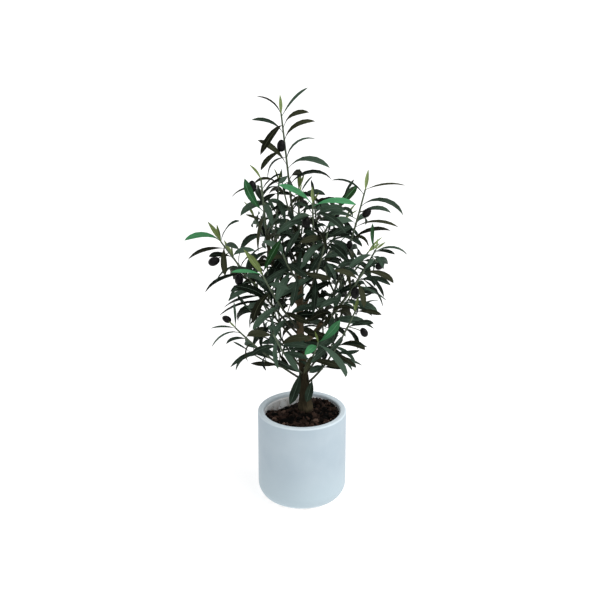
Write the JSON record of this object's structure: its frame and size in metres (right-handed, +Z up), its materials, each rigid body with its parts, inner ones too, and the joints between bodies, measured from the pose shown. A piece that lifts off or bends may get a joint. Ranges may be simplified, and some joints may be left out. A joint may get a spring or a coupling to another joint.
{
  "type": "artificial olive tree in a round pot",
  "caption": "Artificial olive tree: slim bare trunk, open leafy crown of arching narrow leaves with dark olives, in a plain pale round pot.",
  "frame": {"origin": "centre of the pot's flat underside", "axes": "+Z up along the pot's axis, +Y away from the viewer of the picture, +X to the right of the picture"},
  "size_m": [0.3954, 0.3198, 0.7979],
  "materials": {
    "pot": "matt, very pale blue-grey",
    "soil": "rough dark bark chips",
    "bark": "rough brown bark with fine lengthwise ridges",
    "leaf": "satin dark teal-green cloth leaf",
    "leaf_green": "satin mid green cloth leaf",
    "leaf_brown": "satin brown-olive cloth leaf",
    "young_leaf": "satin pale yellow-green cloth leaf",
    "stem": "matt olive green",
    "olive": "soft gloss, nearly black"
  },
  "bodies": {
    "root": {"pot": "pot", "soil": "soil", "trunk": "bark", "bough_leader": "bark", "bough_left": "bark", "bough_middle": "bark", "bough_back": "bark", "bough_right": "bark", "spray_top": "leaf", "spray_upper_left": "leaf", "spray_left_crest": "leaf", "spray_centre": "leaf", "spray_centre_left": "leaf", "spray_right_inner": "leaf", "spray_right_top": "leaf", "spray_right_outer": "leaf", "spray_right_middle": "leaf", "spray_upper_right": "leaf", "spray_left_outer": "leaf", "spray_left_inner": "leaf", "spray_left_low": "leaf", "spray_left_fore": "leaf", "spray_right_low": "leaf", "spray_front": "leaf", "spray_left_back": "leaf", "spray_right_back": "leaf", "spray_back_low_left": "leaf", "spray_back_low_right": "leaf", "spray_back_low": "leaf", "spray_back_left": "leaf", "spray_back_middle": "leaf", "spray_back_right": "leaf", "spray_back_high": "leaf"}
  },
  "joints": []
}
